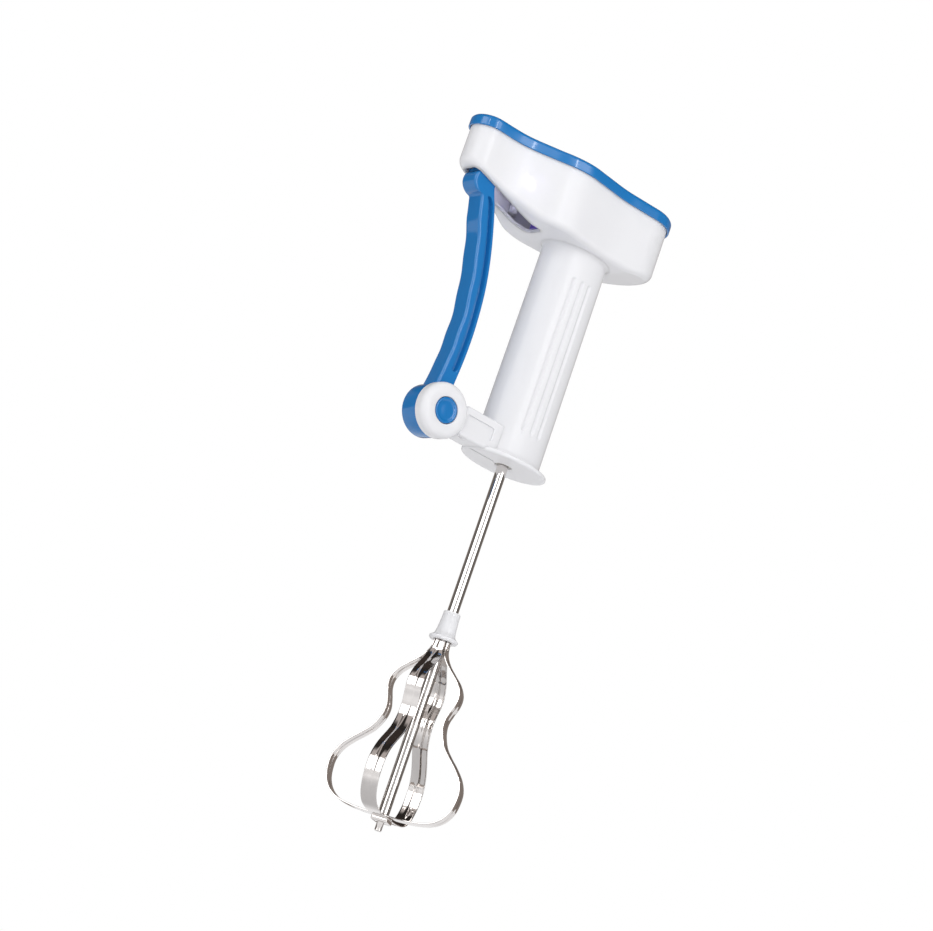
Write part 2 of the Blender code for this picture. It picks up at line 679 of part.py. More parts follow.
def build_step_gear(look):
    center = (GEAR_X, GEAR_Y)
    to_shaft = math.atan2(-GEAR_Y, -GEAR_X)
    wheel = gear_outline(WHEEL_TEETH, WHEEL_MODULE, to_shaft, center)
    gear = make_object("step_gear", extruded(wheel, WHEEL_LOW, WHEEL_HIGH), look)
    half_pitch = math.pi / STEP_PINION_TEETH
    teeth = gear_outline(STEP_PINION_TEETH, RACK_MODULE, -math.pi / 2 + half_pitch, center)
    join(gear, "step_pinion_form", extruded(teeth, RACK_LOW - 0.3 * MM, WHEEL_LOW - 2.6 * MM))
    join(gear, "gear_hub_form", rod(4.4 * MM, RACK_LOW, 329.0 * MM, center, steps=24))
    cut(gear, "gear_bore", rod(AXLE_R + GAP, 300 * MM, 335 * MM, center, steps=16))
    set_origin(gear, (GEAR_X, GEAR_Y, WHEEL_LOW))
    return gear


def build_shaft_pinion(look):
    to_gear = math.atan2(GEAR_Y, GEAR_X)
    half_pitch = math.pi / PINION_TEETH
    teeth = gear_outline(PINION_TEETH, WHEEL_MODULE, to_gear + half_pitch, (0.0, 0.0))
    pinion = make_object("shaft_pinion", extruded(teeth, WHEEL_LOW - 0.4 * MM, WHEEL_HIGH + 0.3 * MM), look)
    join(pinion, "pinion_hub_form", rod(3.9 * MM, PINION_HUB_LOW, WHEEL_HIGH, steps=24))
    cut(pinion, "pinion_bore", rod(JOURNAL_R + GAP, 310 * MM, 335 * MM, steps=16))
    return pinion


# ---------------------------------------------------------------- shaft and whisk


def build_shaft(look):
    chamfer = 0.4 * MM
    groove_r = SHAFT_R - 0.6 * MM
    profile = [
        (0, 0),
        (TIP_R - chamfer, 0),
        (TIP_R, chamfer),
        (TIP_R, SHOULDER_Z),
        (SHAFT_R, SHOULDER_Z),
        (SHAFT_R, CLIP_Z),
        (groove_r, CLIP_Z),
        (groove_r, CLIP_Z + 1.2 * MM),
        (SHAFT_R, CLIP_Z + 1.2 * MM),
        (SHAFT_R, JOURNAL_Z),
        (JOURNAL_R, JOURNAL_Z),
        (JOURNAL_R, SHAFT_TOP - chamfer),
        (JOURNAL_R - chamfer, SHAFT_TOP),
        (0, SHAFT_TOP),
    ]
    return make_object("main_shaft", turned(profile, steps=24), look)


def build_clip(look):
    """The open retaining ring that sits in the shaft's groove on top of the lower bush."""
    low = CLIP_Z + 0.3 * MM
    ring = sleeve(SHAFT_R - 0.3 * MM, 5.2 * MM, low, low + 0.6 * MM, steps=24)
    clip = make_object("retaining_clip", ring, look)
    cut(clip, "clip_mouth", block((-1.7 * MM, 0.5 * MM, low - MM), (1.7 * MM, 8 * MM, low + 2 * MM)))
    return clip


def build_collar(look):
    seat = COLLAR_Z + 4.0 * MM
    profile = [
        (4.5 * MM, COLLAR_Z),
        (6.4 * MM, COLLAR_Z),
        (7.1 * MM, COLLAR_Z + 0.6 * MM),
        (7.1 * MM, COLLAR_Z + 1.5 * MM),
        (6.5 * MM, COLLAR_Z + 2.1 * MM),
        (5.8 * MM, COLLAR_Z + 2.4 * MM),
        (5.15 * MM, COLLAR_Z + 3.2 * MM),
        (4.8 * MM, COLLAR_Z + 4.6 * MM),
        (4.5 * MM, COLLAR_Z + 7.0 * MM),
        (4.1 * MM, COLLAR_TOP - 0.6 * MM),
        (3.7 * MM, COLLAR_TOP),
        (SHAFT_R + GAP, COLLAR_TOP),
        (SHAFT_R + GAP, seat),
        (4.5 * MM, seat),
    ]
    return make_object("whisk_collar", turned(profile, steps=24), look)


def blade_side(drop):
    """One side of a loop as (radius, height) from inside the collar down to the shaft's tip, in mm."""
    lowest = 7.5 - drop
    shape = [
        (3.4, 98.6), (3.4, 93.8), (4.1, 88.8), (6.6, 84.7), (10.6, 80.8), (14.8, 76.8),
        (17.5, 72.0), (17.6, 67.2), (16.0, 62.2), (14.9, 57.5), (15.6, 52.5), (18.2, 46.8),
        (21.8, 42.7), (26.2, 38.5), (30.2, 33.8), (32.5, 28.8), (32.9, 24.0), (31.9, 18.0),
        (29.0, 13.2), (24.2, 9.9), (18.0, 8.3), (10.0, 7.6), (4.0, 7.5),
    ]
    side = []
    for radius, height in smooth_path(shape, 1):
        blend = 1 - smoothstep(height, 8, 18)
        side.append((radius, height - drop * blend))
    side[-1] = (4.0, lowest)
    return side


def build_loop(name, turn, drop, look):
    """A steel strip bent into a gourd-shaped loop, with narrowed ends and a hole for the tip."""
    half = blade_side(drop)
    path = [(radius * MM, height * MM) for radius, height in half]
    path += [(-radius, height) for radius, height in reversed(path)]
    rings = []
    for k, (radius, height) in enumerate(path):
        before = path[max(k - 1, 0)]
        after = path[min(k + 1, len(path) - 1)]
        length = math.hypot(after[0] - before[0], after[1] - before[1])
        normal = ((after[1] - before[1]) / length, -(after[0] - before[0]) / length)
        near_collar = smoothstep(height / MM, 86, 92.5)
        width = STRIP_W + (STRIP_END_W - STRIP_W) * near_collar
        ring = []
        for across, out in ((-1, -1), (1, -1), (1, 1), (-1, 1)):
            u = radius + out * normal[0] * STRIP_T / 2
            w = height + out * normal[1] * STRIP_T / 2
            v = across * width / 2
            x = u * math.cos(turn) - v * math.sin(turn)
            y = u * math.sin(turn) + v * math.cos(turn)
            ring.append((x, y, w))
        rings.append(ring)
    loop = make_object(name, loft(rings), look)
    cut(loop, f"{name}_hole", rod(TIP_R + GAP, 0.0, SHOULDER_Z + 3 * MM, steps=16))
    return loop


def build_end_clip(look):
    """The folded steel plate under the crossed strips that keeps them on the shaft's tip."""
    c, s = math.cos(LOOP_TURN), math.sin(LOOP_TURN)
    half, thick, low, lip = 4.1 * MM, 0.5 * MM, 4.3 * MM, 6.3 * MM
    rings = []
    for inset, z in ((0.3 * MM, low), (0.0, low + 0.4 * MM), (0.0, lip), (thick, lip), (thick, low + thick)):
        edge = half - inset
        corners = ((-edge, -edge), (edge, -edge), (edge, edge), (-edge, edge))
        rings.append([(x * c - y * s, x * s + y * c, z) for x, y in corners])
    clip = make_object("end_clip", loft(rings), look)
    cut(clip, "end_clip_hole", rod(TIP_R + GAP, 0.0, SHOULDER_Z + 3 * MM, steps=16))
    return clip


def main():
    for item in list(bpy.data.objects):
        bpy.data.objects.remove(item, do_unlink=True)
    white = make_material("white_plastic", (0.86, 0.86, 0.88), 0.22)
    blue = make_material("blue_plastic", (0.02, 0.19, 0.62), 0.25)
    violet = make_material("violet_plastic", (0.22, 0.16, 0.48), 0.35)
    nylon = make_material("nylon", (0.75, 0.74, 0.70), 0.45)
    steel = make_material("bright_steel", (0.62, 0.60, 0.58), 0.18, 1.0)
    dark_steel = make_material("spring_steel", (0.34, 0.33, 0.33), 0.30, 1.0)

    build_housing(white)
    build_lid(blue)
    for number, (x, y) in enumerate(SCREWS, 1):
        build_screw(number, x, y, steel)
    build_carrier(violet)
    build_bush("lower_bush", 186.1 * MM, GRIP_FLOOR, GRIP_FLOOR + GAP, GRIP_FLOOR + 1.9 * MM,
               BUSH_BORE - GAP, 6.4 * MM, SHAFT_R + GAP, nylon)
    carrier_top = CARRIER_LOW + CARRIER_T
    build_bush("upper_bush", 297.0 * MM, carrier_top, carrier_top + GAP, carrier_top + 1.5 * MM,
               4.0 * MM, 4.7 * MM, SHAFT_R + GAP, nylon)
    top_bush = sleeve(JOURNAL_R + GAP, 3.0 * MM, 328.6 * MM, 331.2 * MM, steps=24)
    make_object("top_bush", top_bush, nylon)
    axle = rod(AXLE_R, CARRIER_LOW + 1.5 * MM, 331.2 * MM, (GEAR_X, GEAR_Y), steps=16)
    make_object("gear_axle", axle, steel)
    build_pivot_pin(steel)
    build_pivot_cap(blue)
    washer = sleeve(PIVOT_R + GAP, 5.6 * MM, DRUM_FAR + GAP, DRUM_FAR + 0.9 * MM, (HUB_X, HUB_Z), "Y", 24)
    make_object("pivot_washer", washer, steel)
    build_return_spring(dark_steel)

    build_lever(blue)
    build_lever_pin(steel)
    build_rack(violet)
    build_step_gear(violet)

    build_shaft(steel)
    build_shaft_pinion(nylon)
    build_clip(dark_steel)
    build_collar(white)
    build_loop("whisk_loop_upper", LOOP_TURN, 0.0, steel)
    build_loop("whisk_loop_lower", LOOP_TURN + math.pi / 2, 0.75, steel)
    build_end_clip(steel)


main()
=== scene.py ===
import math

import bmesh
import bpy
from mathutils import Matrix, Vector


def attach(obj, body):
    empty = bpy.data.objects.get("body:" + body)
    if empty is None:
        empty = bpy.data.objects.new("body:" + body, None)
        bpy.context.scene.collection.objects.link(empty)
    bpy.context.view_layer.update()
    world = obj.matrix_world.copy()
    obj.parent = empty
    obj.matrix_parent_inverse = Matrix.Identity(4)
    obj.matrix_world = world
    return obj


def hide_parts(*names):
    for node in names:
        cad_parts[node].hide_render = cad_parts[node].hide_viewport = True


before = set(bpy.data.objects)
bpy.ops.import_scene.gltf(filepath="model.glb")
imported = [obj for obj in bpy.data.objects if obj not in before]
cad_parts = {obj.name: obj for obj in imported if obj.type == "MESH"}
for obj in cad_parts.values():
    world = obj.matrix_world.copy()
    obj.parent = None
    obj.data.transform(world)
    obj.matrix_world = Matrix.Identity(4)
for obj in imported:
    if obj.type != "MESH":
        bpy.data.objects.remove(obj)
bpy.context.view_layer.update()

# The looks of a squeeze-lever egg beater. Units are metres, +Z is up and the shaft runs along Z.
MM = 0.001
ROUND = 128
MOULDED = "white_plastic"

SHAFT_R = 2.75
TIP_R = 1.7
SHOULDER_Z = 8.1
JOURNAL_R = 1.6
JOURNAL_Z = 311.5
CLIP_Z = 193.4
SHAFT_TOP = 331.0
STRIP_T = 0.6
STRIP_W = 8.0
STRIP_END_W = 4.8
LOOP_TURN = math.radians(-54.5)
COLLAR_Z = 94.7
COLLAR_TOP = 109.2

GRIP_A, GRIP_B = 18.6, 13.9
GRIP_TOP_SCALE = 0.975
GRIP_WALL = 2.6
BORE_A, BORE_B = GRIP_A * GRIP_TOP_SCALE - GRIP_WALL, GRIP_B * GRIP_TOP_SCALE - GRIP_WALL
FLANGE_Z = 185.3
FLANGE_A, FLANGE_B = 23.6, 17.4
GRIP_FLOOR = 190.6
BUSH_BORE = 4.4
FILLET = 2.2
GROOVE_PITCH = 5.05
GROOVE_DEPTH = 0.75
GROOVE_LOW, GROOVE_HIGH = 202.6, 282.4

NOSE_X, NOSE_R = -71.3, 10.3
HEEL_X, HEEL_H, HEEL_A = 25.0, 21.6, 19.3
FLANK = ((-56, 11.3), (-42, 16.6), (-31, 21.5), (-21.5, 23.3), (-11, 22.2), (3, 20.5), (14, 20.9))
LID_OVERHANG = 1.3
HEAD_WALL = 1.8
HEAD_LOW, SLOPE_X, SLOPE = 298.0, -36.0, 0.268
HEEL_SLOPE_X, HEEL_SLOPE = 18.5, 0.2
SLOPE_BEND = 3.0
HEAD_ROUND = 3.2
LID_LOW, LID_PLATE, LID_TOP = 329.0, 332.3, 335.0
WALL_TOP = 332.0
SLOT_LEFT, SLOT_RIGHT, SLOT_HALF = -74.8, -27.0, 6.0
SCREWS = ((-33.5, 14.9), (-33.5, -14.9), (37.0, 0.0))

HUB_X, HUB_Z = -50.0, 191.9
DRUM_R, DRUM_NEAR, DRUM_FAR = 12.8, -6.0, 5.6
DISC_R, DISC_NEAR, DISC_FAR = 13.5, -13.4, -6.3
CAP_R = 6.25
PIVOT_R = 3.0
LEVER_HALF = 5.5
CHANNEL_DEPTH = 2.4
CHANNEL_LOW, CHANNEL_HIGH = 214.6, 297.2
WAVE, WAVE_PITCH = 0.22, 19.0
TIP_HALF = 3.75
TONGUE_HALF = 2.6
TONGUE_Z = 309.5
PIN_X, PIN_Z, PIN_R = -65.5, 316.0, 1.8
ARM_LOW, ARM_HIGH = 185.7, 200.6
ARM_NEAR, ARM_FAR = -9.6, 4.4
GEAR_X, GEAR_Y = -19.037, 2.5


# ---------------------------------------------------------------- curves


def smoothstep(x, start, end):
    u = min(max((x - start) / (end - start), 0.0), 1.0)
    return u * u * (3 - 2 * u)


def smooth_path(points, per_span):
    """A Catmull-Rom curve through the points."""
    ends = [points[0]] + list(points) + [points[-1]]
    path = []
    for spans in zip(ends, ends[1:], ends[2:], ends[3:]):
        for k in range(per_span):
            t = k / per_span
            point = []
            for a, b, c, d in zip(*spans):
                square = (2 * a - 5 * b + 4 * c - d) * t**2
                cube = (3 * b - a - 3 * c + d) * t**3
                point.append(0.5 * (2 * b + (c - a) * t + square + cube))
            path.append(tuple(point))
    return path + [tuple(points[-1])]


def resample(path, count):
    """The path's points, spaced evenly along it."""
    lengths = [0.0]
    for a, b in zip(path, path[1:]):
        lengths.append(lengths[-1] + math.dist(a, b))
    out = []
    k = 0
    for n in range(count):
        want = lengths[-1] * n / (count - 1)
        while k < len(path) - 2 and lengths[k + 1] < want:
            k += 1
        t = (want - lengths[k]) / (lengths[k + 1] - lengths[k])
        out.append(tuple(a + (b - a) * t for a, b in zip(path[k], path[k + 1])))
    return out


def offset(outline, inset):
    """The closed outline moved inwards."""
    area = 0.0
    for a, b in zip(outline, outline[1:] + outline[:1]):
        area += a[0] * b[1] - b[0] * a[1]
    turn = math.copysign(1.0, area)
    moved = []
    for k, point in enumerate(outline):
        before = outline[k - 1]
        after = outline[(k + 1) % len(outline)]
        dx, dy = after[0] - before[0], after[1] - before[1]
        length = math.hypot(dx, dy)
        moved.append((point[0] - turn * inset * dy / length, point[1] + turn * inset * dx / length))
    return moved


def arc(centre, radius, start, end, steps):
    """Points of an arc, with its angles in degrees."""
    points = []
    for k in range(steps + 1):
        angle = math.radians(start + (end - start) * k / steps)
        points.append((centre[0] + radius * math.cos(angle), centre[1] + radius * math.sin(angle)))
    return points


def rounded_box(left, right, low, high, radius, steps=6):
    points = arc((right - radius, high - radius), radius, 0, 90, steps)
    points += arc((left + radius, high - radius), radius, 90, 180, steps)
    points += arc((left + radius, low + radius), radius, 180, 270, steps)
    points += arc((right - radius, low + radius), radius, 270, 360, steps)
    return points


def ellipse(a, b, steps):
    turns = [2 * math.pi * k / steps for k in range(steps)]
    return [(a * math.cos(turn), b * math.sin(turn)) for turn in turns]


def head_outline(inset=0.0):
    """The lid's outline from the nose tip along -Y to the heel and back along +Y."""
    cap_steps = 24
    span = 8
    side = []
    for k in range(cap_steps + 1):
        angle = math.pi / 2 * k / cap_steps
        side.append((NOSE_X - NOSE_R * math.cos(angle), -NOSE_R * math.sin(angle)))
    flank = [(NOSE_X, NOSE_R)] + list(FLANK) + [(HEEL_X, HEEL_H)]
    side += [(x, -half) for x, half in smooth_path(flank, span)[1:-1]]
    for k in range(cap_steps + 1):
        angle = math.pi / 2 * k / cap_steps
        side.append((HEEL_X + HEEL_A * math.sin(angle), -HEEL_H * math.cos(angle)))
    loop = side + [(x, -y) for x, y in reversed(side[1:-1])]
    return offset(loop, inset) if inset else loop


def underside(x):
    """The head's lower face, which rises to the nose and to the heel with a soft bend before each."""
    rise = 0.0
    for run, slope in ((SLOPE_X - x, SLOPE), (x - HEEL_SLOPE_X, HEEL_SLOPE)):
        if abs(run) < SLOPE_BEND:
            rise += slope * (run + SLOPE_BEND) ** 2 / (4 * SLOPE_BEND)
        else:
            rise += slope * max(run, 0.0)
    return HEAD_LOW + rise


# ---------------------------------------------------------------- meshes


def add_loft(bm, rings, close_start=True, close_end=True, strips=False, joined=False):
    """Adds a skin through rings of points in millimetres. Strips close a symmetric ring's end in bands."""
    loops = [[bm.verts.new([c * MM for c in point]) for point in ring] for ring in rings]
    count = len(loops[0])
    pairs = list(zip(loops, loops[1:]))
    if joined:
        pairs.append((loops[-1], loops[0]))
    for low, high in pairs:
        for k in range(count):
            j = (k + 1) % count
            bm.faces.new((low[k], low[j], high[j], high[k]))
    if joined:
        return
    for wanted, loop in ((close_start, loops[0]), (close_end, loops[-1])):
        if not wanted:
            continue
        if strips:
            for k in range(count // 2):
                corners = (loop[k], loop[k + 1], loop[-k - 1], loop[-k] if k else loop[0])
                bm.faces.new(list(dict.fromkeys(corners)))
        else:
            bm.faces.new(loop)


def add_turned(bm, profile, centre=(0.0, 0.0), axis="Z", steps=ROUND):
    """Adds a closed profile of (radius, height) turned about an axis; points on the axis become poles."""
    rings = []
    for radius, height in profile:
        count = 1 if radius < 1e-6 else steps
        ring = []
        for k in range(count):
            angle = 2 * math.pi * k / steps
            u = centre[0] + radius * math.cos(angle)
            v = centre[1] + radius * math.sin(angle)
            point = (u, v, height) if axis == "Z" else (u, height, v)
            ring.append(bm.verts.new([c * MM for c in point]))
        rings.append(ring)
    for a, b in zip(rings, rings[1:] + rings[:1]):
        if len(a) == 1 and len(b) == 1:
            continue
        for k in range(steps):
            j = (k + 1) % steps
            corners = (a[k % len(a)], a[j % len(a)], b[j % len(b)], b[k % len(b)])
            bm.faces.new(list(dict.fromkeys(corners)))


def finish_piece(bm, name, body, look, sharp=32, nodes=()):
    """Turns the mesh into a shown piece that rides on a body and stands for its CAD nodes."""
    bmesh.ops.recalc_face_normals(bm, faces=bm.faces)
    mesh = bpy.data.meshes.new(name)
    bm.to_mesh(mesh)
    bm.free()
    mesh.materials.append(look)
    mesh.shade_smooth()
    mesh.set_sharp_from_angle(angle=math.radians(sharp))
    piece = bpy.data.objects.new(name, mesh)
    bpy.context.scene.collection.objects.link(piece)
    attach(piece, body)
    if nodes:
        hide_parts(*nodes)
    return piece


def cut_away(bm, cutters):
    """The mesh with closed cutter meshes taken away."""
    solid = bpy.data.meshes.new("solid")
    bmesh.ops.recalc_face_normals(bm, faces=bm.faces)
    bm.to_mesh(solid)
    bm.free()
    base = bpy.data.objects.new("solid", solid)
    bpy.context.scene.collection.objects.link(base)
    tools = []
    for tool_bm in cutters:
        bmesh.ops.recalc_face_normals(tool_bm, faces=tool_bm.faces)
        mesh = bpy.data.meshes.new("cutter")
        tool_bm.to_mesh(mesh)
        tool_bm.free()
        tool = bpy.data.objects.new("cutter", mesh)
        bpy.context.scene.collection.objects.link(tool)
        modifier = base.modifiers.new("cut", "BOOLEAN")
        modifier.operation = "DIFFERENCE"
        modifier.solver = "EXACT"
        modifier.object = tool
        tools.append(tool)
    evaluated = base.evaluated_get(bpy.context.evaluated_depsgraph_get())
    result = bmesh.new()
    result.from_mesh(evaluated.to_mesh())
    evaluated.to_mesh_clear()
    for gone in [base] + tools:
        mesh = gone.data
        bpy.data.objects.remove(gone)
        bpy.data.meshes.remove(mesh)
    return result


def lofted(rings, **ends):
    bm = bmesh.new()
    add_loft(bm, rings, **ends)
    return bm


def plate_xz(outline, near, far, soft=0.0, steps=4):
    """An XZ outline pushed along Y, with its edges rounded."""
    rings = []
    for side, y in ((1, near), (-1, far)):
        levels = []
        for k in range(steps + 1 if soft else 1):
            angle = math.pi / 2 * k / steps
            levels.append((soft * (1 - math.sin(angle)), y + side * soft * (1 - math.cos(angle))))
        for inset, level in levels if side == 1 else reversed(levels):
            shape = offset(outline, inset) if inset > 1e-6 else outline
            rings.append([(x, level, z) for x, z in shape])
    return rings


# ---------------------------------------------------------------- materials


def finish_look(name, colour, roughness, metallic=0.0, shade=0.03, bump=0.0, scale=60.0, shine=0.5,
                scatter=0.0, brushed=None):
    """A moulded or metal finish whose colour, gloss and surface vary a little."""
    look = bpy.data.materials.new(name)
    look.use_nodes = True
    tree = look.node_tree
    shader = tree.nodes["Principled BSDF"]
    shader.inputs["Metallic"].default_value = metallic
    shader.inputs["Specular IOR Level"].default_value = shine
    shader.inputs["IOR"].default_value = 1.5
    if scatter:
        shader.inputs["Subsurface Weight"].default_value = scatter
        shader.inputs["Subsurface Radius"].default_value = (1.0, 1.0, 1.0)
        shader.inputs["Subsurface Scale"].default_value = 0.0015

    place = tree.nodes.new("ShaderNodeTexCoord")
    stretch = tree.nodes.new("ShaderNodeMapping")
    stretch.inputs["Scale"].default_value = brushed or (1.0, 1.0, 1.0)
    tree.links.new(place.outputs["Object"], stretch.inputs["Vector"])
    cloud = tree.nodes.new("ShaderNodeTexNoise")
    cloud.inputs["Scale"].default_value = scale
    cloud.inputs["Detail"].default_value = 3.0
    tree.links.new(stretch.outputs["Vector"], cloud.inputs["Vector"])

    tint = tree.nodes.new("ShaderNodeMapRange")
    tint.inputs["To Min"].default_value = 1.0 - shade
    tint.inputs["To Max"].default_value = 1.0 + shade
    tree.links.new(cloud.outputs["Fac"], tint.inputs["Value"])
    mixed = tree.nodes.new("ShaderNodeVectorMath")
    mixed.operation = "SCALE"
    mixed.inputs[0].default_value = colour
    tree.links.new(tint.outputs["Result"], mixed.inputs["Scale"])
    tree.links.new(mixed.outputs["Vector"], shader.inputs["Base Color"])

    gloss = tree.nodes.new("ShaderNodeMapRange")
    gloss.inputs["To Min"].default_value = roughness * 0.8
    gloss.inputs["To Max"].default_value = roughness * 1.2
    tree.links.new(cloud.outputs["Fac"], gloss.inputs["Value"])
    tree.links.new(gloss.outputs["Result"], shader.inputs["Roughness"])

    if bump:
        grain = tree.nodes.new("ShaderNodeTexNoise")
        grain.inputs["Scale"].default_value = 900.0
        grain.inputs["Detail"].default_value = 2.0
        tree.links.new(stretch.outputs["Vector"], grain.inputs["Vector"])
        relief = tree.nodes.new("ShaderNodeBump")
        relief.inputs["Strength"].default_value = bump
        relief.inputs["Distance"].default_value = 0.00005
        tree.links.new(grain.outputs["Fac"], relief.inputs["Height"])
        tree.links.new(relief.outputs["Normal"], shader.inputs["Normal"])
    return look


LOOKS = {
    "white_plastic": finish_look(
        "white_plastic", (0.83, 0.83, 0.85), 0.20, shade=0.010, bump=0.02, scatter=0.7, shine=0.2,
    ),
    "blue_plastic": finish_look("blue_plastic", (0.013, 0.185, 0.500), 0.10, shade=0.04, bump=0.03),
    "violet_plastic": finish_look("violet_plastic", (0.14, 0.09, 0.42), 0.34, shade=0.04, bump=0.05),
    "nylon": finish_look("nylon", (0.74, 0.73, 0.68), 0.42, shade=0.03, bump=0.08),
    "bright_steel": finish_look(
        "bright_steel", (0.75, 0.72, 0.70), 0.08, metallic=1.0, shade=0.05, bump=0.02, scale=40.0,
        brushed=(8.0, 8.0, 0.6),
    ),
    "spring_steel": finish_look(
        "spring_steel", (0.52, 0.51, 0.50), 0.30, metallic=1.0, shade=0.06, bump=0.10
    ),
}
WHITE = LOOKS[MOULDED]
BLUE = LOOKS["blue_plastic"]
STEEL = LOOKS["bright_steel"]


# ---------------------------------------------------------------- head, grip and arm


def head_rings(inset, rise, corner, steps, top):
    """The head's wall from the lower rounding up, which follows the sloping underside."""
    rings = []
    flat = offset(head_outline(), inset + corner * 1.35)
    rings.append([(x, y, underside(x) + rise) for x, y in flat])
    for k in range(steps + 1):
        angle = math.pi / 2 * k / steps
        inward = corner * (1 - math.sin(angle))
        up = corner * (1 - math.cos(angle))
        rings.append([(x, y, underside(x) + rise + up) for x, y in head_outline(inset + inward)])
    rings.append([(x, y, LID_LOW - 2.0) for x, y in head_outline(inset)])
    rings.append([(x, y, top) for x, y in head_outline(inset)])
    return rings


def make_head():
    steps = 9
    outer = head_rings(LID_OVERHANG, 0.0, HEAD_ROUND, steps, WALL_TOP)
    inner = head_rings(LID_OVERHANG + HEAD_WALL, HEAD_WALL, 1.6, 4, WALL_TOP)
    bm = lofted(outer + list(reversed(inner)), strips=True)

    slot = rounded_box(SLOT_LEFT, SLOT_RIGHT, -SLOT_HALF, SLOT_HALF, 3.2, 8)
    cutters = [lofted([[(x, y, z) for x, y in slot] for z in (HEAD_LOW - 6, LID_LOW - 12)])]
    mouth = ellipse(BORE_A, BORE_B, 72)
    cutters.append(lofted([[(x, y, z) for x, y in mouth] for z in (HEAD_LOW - 4, HEAD_LOW + 6)]))
    bm = cut_away(bm, cutters)

    out = 0.3
    rim = rounded_box(SLOT_LEFT - out, SLOT_RIGHT + out, -SLOT_HALF - out, SLOT_HALF + out, 3.5, 12)
    even = resample(rim + rim[:1], 140)[:-1]
    bead = 0.6
    rings = []
    for k, (x, y) in enumerate(even):
        before, after = even[k - 1], even[(k + 1) % len(even)]
        dx, dy = after[0] - before[0], after[1] - before[1]
        length = math.hypot(dx, dy)
        ring = []
        for n in range(10):
            angle = 2 * math.pi * n / 10
            side = bead * math.cos(angle)
            level = underside(x) + 0.45 + bead * math.sin(angle)
            ring.append((x + side * dy / length, y - side * dx / length, level))
        rings.append(ring)
    add_loft(bm, rings, joined=True)

    for x, y in SCREWS:
        profile = [(1.7, 315.0), (1.7, 307.5), (2.4, 306.0), (2.4, WALL_TOP), (1.7, WALL_TOP)]
        add_turned(bm, profile, (x, y), steps=32)
    return finish_piece(bm, "head_shell", "beater_body", WHITE, nodes=["housing"])


def groove_depth(x, z):
    """How deep the three long grooves are at a place on the grip's face."""
    depth = 0.0
    for number in (-1, 0, 1):
        along = min(max(z, GROOVE_LOW), GROOVE_HIGH)
        away = math.hypot(x - number * GROOVE_PITCH, z - along)
        depth += GROOVE_DEPTH * (1 - smoothstep(away, 0.15, 1.45))
    return depth


def make_grip():
    columns = 320
    levels = [FLANGE_Z + 0.4]
    z = FLANGE_Z + 1.9
    while z < HEAD_LOW - 2.6:
        levels.append(z)
        near_end = min(abs(z - GROOVE_LOW), abs(z - GROOVE_HIGH)) < 2.6
        z += 0.3 if near_end else 1.8
    fillet = []
    for t in (0.0, 0.3, 0.6, 0.9, 1.2, 1.57):
        fillet.append((HEAD_LOW - FILLET + (FILLET + 0.2) * math.sin(t), FILLET * (1 - math.cos(t))))
    levels += [height for height, _ in fillet]
    flare = [0.0] * (len(levels) - len(fillet)) + [out for _, out in fillet]
    foot = 1.6
    rings = []
    for height, out in zip(levels, flare):
        scale = 1 + (GRIP_TOP_SCALE - 1) * (height - FLANGE_Z) / (HEAD_LOW - FLANGE_Z)
        out += 1.2 * (1 - smoothstep(height, FLANGE_Z + foot, FLANGE_Z + 2.4 * foot))
        ring = []
        for x, y in ellipse(GRIP_A * scale, GRIP_B * scale, columns):
            normal = Vector((x / (GRIP_A * scale) ** 2, y / (GRIP_B * scale) ** 2)).normalized()
            sink = groove_depth(x, height) if abs(y) > 4 else 0.0
            ring.append((x + normal.x * (out - sink), y + normal.y * (out - sink), height))
        rings.append(ring)
    bore = ellipse(BORE_A, BORE_B, columns)
    rings.append([(x, y, HEAD_LOW + 0.9) for x, y in bore])
    rings.append([(x, y, GRIP_FLOOR) for x, y in bore])
    rings.append([(x, y, GRIP_FLOOR) for x, y in ellipse(BUSH_BORE, BUSH_BORE, columns)])
    rings.append([(x, y, FLANGE_Z + 0.4) for x, y in ellipse(BUSH_BORE, BUSH_BORE, columns)])
    bm = lofted(rings, joined=True)
    return finish_piece(bm, "grip_tube", "beater_body", WHITE, sharp=38)


def make_flange():
    soft = 0.95
    rings = []
    hole = ellipse(BUSH_BORE, BUSH_BORE, ROUND)
    for start, end, middle in ((-90, 0, soft), (0, 90, 2.2 - soft)):
        for out, up in arc((0.0, 0.0), soft, start, end, 6):
            shape = ellipse(FLANGE_A - soft + out, FLANGE_B - soft + out, ROUND)
            rings.append([(x, y, FLANGE_Z + middle + up) for x, y in shape])
    low = [(x, y, FLANGE_Z) for x, y in ellipse(FLANGE_A - 2.2, FLANGE_B - 2.2, ROUND)]
    high = [(x, y, FLANGE_Z + 2.2) for x, y in ellipse(FLANGE_A - 2.2, FLANGE_B - 2.2, ROUND)]
    rings = [[(x, y, FLANGE_Z) for x, y in hole], low] + rings + [high]
    rings.append([(x, y, FLANGE_Z + 2.2) for x, y in hole])
    bm = lofted(rings, joined=True)
    seam = rounded_box(-FLANGE_A + 1.6, -6.0, -0.35, 0.35, 0.3, 3)
    add_loft(bm, [[(x, y, z) for x, y in seam] for z in (FLANGE_Z - 0.12, FLANGE_Z + 0.3)])
    return finish_piece(bm, "grip_flange", "beater_body", WHITE)


